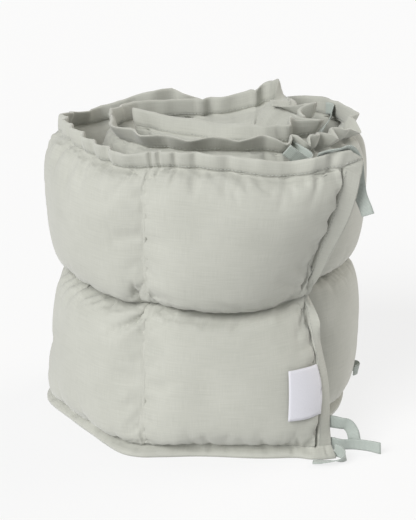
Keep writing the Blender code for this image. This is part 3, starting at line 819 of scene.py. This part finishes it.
def add_node(material, kind, inputs, **settings):
    """Add a shader node with its settings and inputs, and return its first output."""
    node = material.node_tree.nodes.new("ShaderNode" + kind)
    for key, value in settings.items():
        setattr(node, key, value)
    set_inputs(material, node, inputs)
    return node.outputs[0]


def noise(material, vector, scale, detail=2.0):
    """Noise over the cloth."""
    return add_node(material, "TexNoise", {"Vector": vector, "Scale": scale, "Detail": detail})


def stretched(material, vector, stretch, seed=0.0):
    """Cloth coordinates stretched one way, for threads that run the other way."""
    return add_node(material, "Mapping", {"Vector": vector, "Scale": (*stretch, 1.0),
                                          "Location": (seed, seed, 0.0)})


def add_up(material, first, second):
    """The sum of two outputs."""
    return add_node(material, "Math", {0: first, 1: second}, operation="ADD")


def colour_from(material, shader, factor, dark, light, span=None):
    """Colour the shader from dark to light by a factor, over the span in which the factor runs."""
    if span:
        factor = add_node(material, "MapRange",
                          {"Value": factor, "From Min": span[0], "From Max": span[1]})
    colour = add_node(material, "ValToRGB", {"Fac": factor})
    for stop, tone in zip(colour.node.color_ramp.elements, (dark, light)):
        stop.color = (*tone, 1.0)
    set_inputs(material, shader, {"Base Color": colour})


def raise_threads(material, shader, height, strength, distance):
    """Raise the fine threads of the cloth a little."""
    normal = add_node(material, "Bump", {"Height": height, "Strength": strength, "Distance": distance})
    set_inputs(material, shader, {"Normal": normal})


def cotton_material():
    """Plain-woven cotton: a fine thread, slubs along both threads and a soft change of tone."""
    material, shader = principled("sage_cotton", (0.40, 0.41, 0.37), 0.82, Sheen_Weight=0.25,
                                  Sheen_Roughness=0.5, Specular_IOR_Level=0.25)
    uv = add_node(material, "UVMap", {}, uv_map="cloth")
    weave = add_up(material, noise(material, stretched(material, uv, (2100.0, 60.0)), 1.0),
                   noise(material, stretched(material, uv, (38.0, 1100.0), 4.0), 1.0))
    mottle = add_up(material, weave, noise(material, uv, 22.0, 3.0))
    colour_from(material, shader, mottle, (0.347, 0.351, 0.312), (0.444, 0.448, 0.404), (0.9, 2.1))
    raise_threads(material, shader, weave, 0.22, 0.0004)
    return material


def ribbon_material():
    """Grosgrain ribbon: close ribs across it and a slight sheen."""
    material, shader = principled("sage_ribbon", (0.27, 0.30, 0.27), 0.6, Sheen_Weight=0.3)
    uv = add_node(material, "UVMap", {}, uv_map="cloth")
    ribs = add_node(material, "TexWave", {"Vector": uv, "Scale": 260.0, "Distortion": 0.4},
                    wave_type="BANDS", bands_direction="X").node.outputs["Fac"]
    mixed = add_up(material, ribs, noise(material, uv, 900.0))
    colour_from(material, shader, mixed, (0.25, 0.285, 0.26), (0.43, 0.47, 0.435), (0.3, 1.7))
    raise_threads(material, shader, mixed, 0.4, 0.0004)
    return material


def thread_material():
    """Sewing thread in the cotton's tone."""
    return principled("sewing_thread", (0.35, 0.36, 0.33), 0.6, Sheen_Weight=0.3)[0]


def label_material():
    """White satin tape, finely woven."""
    material, shader = principled("white_satin", (0.66, 0.66, 0.69), 0.55, Sheen_Weight=0.2)
    uv = add_node(material, "UVMap", {}, uv_map="cloth")
    threads = noise(material, stretched(material, uv, (2200.0, 700.0)), 1.0)
    colour_from(material, shader, threads, (0.50, 0.50, 0.54), (0.60, 0.60, 0.64))
    raise_threads(material, shader, threads, 0.2, 0.0002)
    return material


# ---- ties

RIBBON_WIDTH = 0.012
RIBBON_THICKNESS = 0.0009
RIBBON_STEPS = 8
RIBBON_COLUMNS = 7
RIBBON_HEM_THICKNESS = 1.7
RIBBON_FOOT_Z = 0.0056
FOOT_TILT = 0.5
SEWN_REACH = 0.02
RIBBON_HEM = 0.009
Sewn = namedtuple("Sewn", "panel zone fraction face lift_mm")
Free = namedtuple("Free", "x_mm y_mm z_mm across_x across_y across_z")
TIES = {
    "tie_top": (
        Sewn(0.14, "hem", 0.95, -1, 0.5), Sewn(0.09, "hem", 0.97, -1, 0.5),
        Sewn(0.04, "hem", 0.97, -1, 0.5), Sewn(-0.02, "hem", 0.92, -1, 0.8),
        Free(136, -132.5, 285, 0.6, 0.0, 0.8),
        Free(137, -129.5, 277, 0.85, -0.1, 0.5), Free(138, -128, 268, 0.9, -0.1, 0.3),
        Free(139, -126.5, 262, 0.9, -0.2, 0.3), Free(141, -127, 252, 0.85, -0.2, 0.45),
        Free(145, -128, 242, 0.8, -0.2, 0.5), Free(148, -128.5, 234, 0.8, -0.2, 0.55)),
    "tie_front": (
        Sewn(4.96, "hem", 0.35, 1, 0.0), Free(93.5, -95, 281, 0.3, 0.1, 0.95),
        Free(94, -106, 279, 0.5, 0.1, 0.86), Free(89, -115, 281, 0.75, 0, 0.65),
        Free(81, -119, 287, 0.75, -0.1, 0.65), Free(72, -119.5, 294, 0.7, -0.15, 0.7)),
    "tie_back": (
        Sewn(3.94, "hem", 0.52, -1, 1.7), Sewn(4.00, "hem", 0.52, -1, 1.7),
        Free(123, 52, 285, 0.4, -0.1, 0.9), Free(118, 34, 283, 0.6, -0.1, 0.8),
        Free(112, 17, 281, 0.7, -0.2, 0.7), Free(108, 2, 278, 0.7, -0.2, 0.7)),
    "tie_foot_long": (
        Sewn(-0.04, "lower", 0.02, -1, 0.6), Sewn(-0.085, "lower", 0.01, -1, 0.6),
        Free(128, -133, 7.0, 0, -0.25, 0.97), Free(139, -131, 6.4, 0, -0.25, 0.97),
        Free(152, -134, 6.3, 0, -0.2, 0.98), Free(165, -141, 6.2, 0, -0.15, 0.99)),
    "tie_foot_curled": (
        Sewn(-0.055, "lower", 0.14, -1, 1.5), Sewn(-0.09, "lower", 0.15, -1, 1.5),
        Free(127, -128, 27, 0.15, -0.1, 0.98), Free(134, -127, 25, 0.45, -0.1, 0.88),
        Free(139, -128, 18, 0.75, -0.1, 0.65), Free(141, -130, 9, 0.85, -0.1, 0.5)),
    "tie_foot_folded": (
        Free(120.8, -145, 6.4, 0.1, 0, 1), Free(126.5, -150.5, 6.4, 0.1, -0.1, 1),
        Free(130, -157, 6.0, -0.2, -0.5, 0.84), Free(124, -164, 4.4, 0, -0.85, 0.5),
        Free(112, -165, 3.2, 0, -0.97, 0.25), Free(99, -163.5, 2.4, 0, -0.99, 0.12)),
    "tie_side": (
        Sewn(3.86, "foot", 0.0, 1, 1.2), Sewn(3.92, "foot", 0.0, 1, 1.2),
        Free(141, 81, 6.7, 0.1, 0.2, 1), Free(152, 82, 7.5, 0, 0.2, 1),
        Free(159.5, 79, 8.5, 0.2, 0, 1), Free(161, 73, 7.5, 0.2, -0.1, 1),
        Free(156, 68.5, 6.7, 0.1, -0.2, 1)),
}


def sewn_place(place):
    """Where a tie lies flat on the pad, and its across direction there."""
    proud = place.lift_mm * MM + RIBBON_THICKNESS / 2
    if place.zone == "foot":
        out_x, out_y = plan_point(place.panel * PANEL_PITCH)[2:]
        proud += FOOT_TILT * RIBBON_WIDTH / 2
        spot = pad_point(place.panel, "foot", place.fraction, place.face, proud)
        spot[2] = RIBBON_FOOT_Z
        return spot, np.array([FOOT_TILT * out_x, FOOT_TILT * out_y, 1 - FOOT_TILT / 2])
    flat = place.panel * PANEL_PITCH
    spot, _ = on_pad(flat, place.zone, place.fraction, place.face, proud)
    above, _ = on_pad(flat, place.zone, place.fraction + SEWN_REACH, place.face, proud)
    return spot, unit(above - spot)


def tie_places(places):
    """The middle line of a tie and its across direction, from its sewn and its free places."""
    rows = []
    for place in places:
        if isinstance(place, Sewn):
            spot, across = sewn_place(place)
        else:
            spot, across = np.array(place[:3]) * MM + TO_ORIGIN, np.array(place[3:], dtype=float)
        rows.append((*spot, *across))
    return rows


def make_tie(name, places, material):
    """A flat woven ribbon that follows its places, with its free end turned back and sewn."""
    smooth = smooth_rows(tie_places(places), RIBBON_STEPS)
    middle = smooth[:, :3]
    along = unit(np.gradient(middle, axis=0))
    across = unit(smooth[:, 3:] - along * np.sum(smooth[:, 3:] * along, axis=1)[:, None])
    through = np.cross(along, across)
    travelled = distances(middle)
    length = travelled[-1]
    columns = np.linspace(-0.5, 0.5, RIBBON_COLUMNS)
    thick = RIBBON_THICKNESS * np.where(travelled > length - RIBBON_HEM, RIBBON_HEM_THICKNESS, 1.0)
    sides = [middle[:, None] + across[:, None] * columns[None, :, None] * RIBBON_WIDTH
             + through[:, None] * (side * thick / 2)[:, None, None] for side in (1, -1)]
    ring = np.concatenate([sides[0], sides[1][:, ::-1]], axis=1)
    around = np.concatenate([columns, columns[::-1]]) * RIBBON_WIDTH
    tie = new_piece(name + "_ribbon", ring.reshape(-1, 3), loft(*ring.shape[:2]), material,
                    cloth_uvs(travelled, around))
    return tie, length


# ---- label

LABEL_FROM_SEAM = (0.002, 0.037)
LABEL_FRACTION = (0.235, 0.565)
LABEL_THICKNESS = 0.0009
LABEL_GAP = 0.0005
LABEL_CELLS = 16
ROW_HEIGHT = MIDDLE_SEAM_Z - BOTTOM_SEAM_Z


def make_label(material):
    """The bare sewn-in label: stiffer than the cotton, so it spans the cloth's small folds."""
    side = LABEL_CELLS + 1
    across = np.linspace(*LABEL_FROM_SEAM, side)
    up = np.linspace(*LABEL_FRACTION, side)
    cloth = np.array([[on_pad(flat, "lower", fraction, 1, 0.0) for flat in across] for fraction in up])
    places, normals = cloth[:, :, 0], cloth[:, :, 1]
    spread = np.array([[(x ** i) * (y ** j) for i in range(3) for j in range(3)]
                       for y in np.linspace(-1, 1, side) for x in np.linspace(-1, 1, side)])
    fit = np.linalg.lstsq(spread, places.reshape(-1, 3), rcond=None)[0]
    sheet = (spread @ fit).reshape(side, side, 3)
    sunk = np.sum((places - sheet) * normals, axis=2).max()
    points, uvs = [], []
    for proud in (LABEL_GAP, LABEL_GAP + LABEL_THICKNESS):
        points += list((sheet + normals * (proud + max(0.0, sunk))).reshape(-1, 3))
        uvs += [(flat, fraction * ROW_HEIGHT) for fraction in up for flat in across]
    back = side * side
    grid = np.arange(back).reshape(side, side)
    quads = np.stack([grid[:-1, :-1], grid[:-1, 1:], grid[1:, 1:], grid[1:, :-1]], axis=-1)
    both = np.stack([quads, quads[..., ::-1] + back], axis=2)
    rim = np.concatenate([grid[0], grid[1:, -1], grid[-1, -2::-1], grid[-2:0:-1, 0]])
    after = np.roll(rim, -1)
    edge = np.stack([after, rim, rim + back, after + back], axis=-1)
    faces = both.reshape(-1, 4).tolist() + edge.tolist()
    return new_piece("blank_label", points, faces, material, uvs)


# ---- stitches

STITCH_LENGTH = 0.0023
STITCH_PITCH = 0.0034
STITCH_RADIUS = 0.00042
STITCH_SIDES = 5
STITCH_PROFILE = ((-1.0, 0.15), (-0.7, 0.9), (0.0, 1.0), (0.7, 0.9), (1.0, 0.15))
STITCH_PROUD = 0.4
LINE_SAMPLES = 2340
SEAM_LINES = named_rows(
    "face flat_1 level_1 flat_2 level_2",
    (1, 0.0, 3.178, STRIP_LENGTH, 3.178), (-1, 0.0, 3.178, STRIP_LENGTH, 3.178),
    (1, 0.0, 1.0, STRIP_LENGTH, 1.0), (1, 0.0, 3.178, -HEM_WIDTH, 3.98),
    (-1, 0.0, 3.178, -HEM_WIDTH, 3.98), (1, -0.0032, 1.0, -0.0032, 3.0),
    (-1, STRIP_LENGTH + 0.0012, 1.0, STRIP_LENGTH + 0.0012, 3.0),
    (1, STRIP_LENGTH + 0.0012, 1.0, STRIP_LENGTH + 0.0012, 3.0),
)


def line_on_pad(line):
    """Points and normals along a line of stitches, close together."""
    places = []
    for t in np.linspace(0, 1, LINE_SAMPLES):
        level = line.level_1 + (line.level_2 - line.level_1) * t
        zone = min(int(level), len(ZONES) - 1)
        flat = line.flat_1 + (line.flat_2 - line.flat_1) * t
        places.append(on_pad(flat, ZONES[zone], level - zone, line.face,
                             STITCH_PROUD * STITCH_RADIUS))
    places = np.array(places)
    return places[:, 0], places[:, 1]


def make_stitches(material):
    """A thread bead for each stitch of the seams that show."""
    points, faces = [], []
    ring = 2 * math.pi * np.arange(STITCH_SIDES) / STITCH_SIDES
    bead = loft(len(STITCH_PROFILE), STITCH_SIDES)
    for line in SEAM_LINES:
        way, normals = line_on_pad(line)
        travelled = distances(way)
        for middle in np.arange(STITCH_PITCH, travelled[-1] - STITCH_LENGTH, STITCH_PITCH):
            spots = middle + np.array([step for step, _ in STITCH_PROFILE]) * STITCH_LENGTH / 2
            axis = np.stack([np.interp(spots, travelled, way[:, i]) for i in range(3)], axis=1)
            normal = unit(np.array([np.interp(middle, travelled, normals[:, i]) for i in range(3)]))
            side = unit(np.cross(axis[-1] - axis[0], normal))
            first = len(points)
            for (_, swell), place in zip(STITCH_PROFILE, axis):
                for angle in ring:
                    points.append(place + STITCH_RADIUS * swell
                                  * (side * math.cos(angle) + normal * math.sin(angle)))
            faces += [tuple(first + index for index in face) for face in bead]
    return new_piece("seam_stitches", points, faces, material)


# ---- the studio

CAMERA_BACK = 1.67
CAMERA_HEIGHT = 0.66
CAMERA_TILT = 17.0
PHOTO_WIDTH = 416
FOCAL_PIXELS = 1730
HORIZON_SHIFT = 2 / PHOTO_WIDTH
SENSOR_WIDTH = 36.0
WORLD_STRENGTH = 0.38
FLOOR_GLOW = 0.76
FLOOR_HALF = 30.0
FLOOR_DROP = 0.0005

# Soft lights: the way each comes from, its strength, its width in degrees and its colour.
SoftLight = namedtuple("SoftLight", "name way strength angle colour")
LIGHTS = (SoftLight("key", (-0.54, -0.70, 0.62), 3.3, 34, (1.0, 1.0, 1.0)),
          SoftLight("fill", (1.0, 0.5, 0.5), 1.6, 50, (1.0, 0.95, 0.88)))


def add_camera():
    """The photograph's own view."""
    data = bpy.data.cameras.new("photo_camera")
    data.sensor_fit = "HORIZONTAL"
    data.sensor_width = SENSOR_WIDTH
    data.lens = SENSOR_WIDTH * FOCAL_PIXELS / PHOTO_WIDTH
    data.shift_y = HORIZON_SHIFT
    camera = add_object("photo_camera", data)
    camera.location = Vector((0.0, -CAMERA_BACK, CAMERA_HEIGHT)) + Vector(TO_ORIGIN)
    camera.rotation_euler = (math.radians(90 - CAMERA_TILT), 0.0, 0.0)
    bpy.context.scene.camera = camera


def add_studio():
    """A pale floor, lit from below like a light table, under soft light from the front left."""
    floor_material = principled("studio_floor", (0.16, 0.16, 0.16), 0.9, Specular_IOR_Level=0.1,
                                Emission_Color=(1.0, 1.0, 1.0, 1.0), Emission_Strength=FLOOR_GLOW)[0]
    corners = [(FLOOR_HALF * x, FLOOR_HALF * y, 0.0) for x, y in ((-1, -1), (1, -1), (1, 1), (-1, 1))]
    floor = new_piece("studio_floor", corners, [(0, 1, 2, 3)], floor_material)
    floor.location.z = -FLOOR_DROP
    world = bpy.data.worlds.new("studio_world")
    world.use_nodes = True
    set_inputs(world, world.node_tree.nodes["Background"],
               {"Color": (1.0, 1.0, 1.0, 1.0), "Strength": WORLD_STRENGTH})
    bpy.context.scene.world = world
    for light in LIGHTS:
        data = bpy.data.lights.new(light.name, "SUN")
        data.energy = light.strength
        data.angle = math.radians(light.angle)
        data.color = light.colour
        lamp = add_object(light.name, data)
        lamp.rotation_euler = (-Vector(light.way)).to_track_quat("-Z", "Y").to_euler()


def main():
    """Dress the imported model."""
    cotton = cotton_material()
    ribbon = ribbon_material()
    pad = make_pad(cotton)
    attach(pad, "root")
    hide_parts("pad")
    for name, places in TIES.items():
        tie, length = make_tie(name, places, ribbon)
        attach(tie, "root")
        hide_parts(name)
    stitches = make_stitches(thread_material())
    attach(stitches, "root")
    label = make_label(label_material())
    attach(label, "root")
    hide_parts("label")
    add_studio()
    add_camera()
    scene = bpy.context.scene
    scene.view_settings.view_transform = "Standard"
    scene.cycles.use_denoising = True


main()
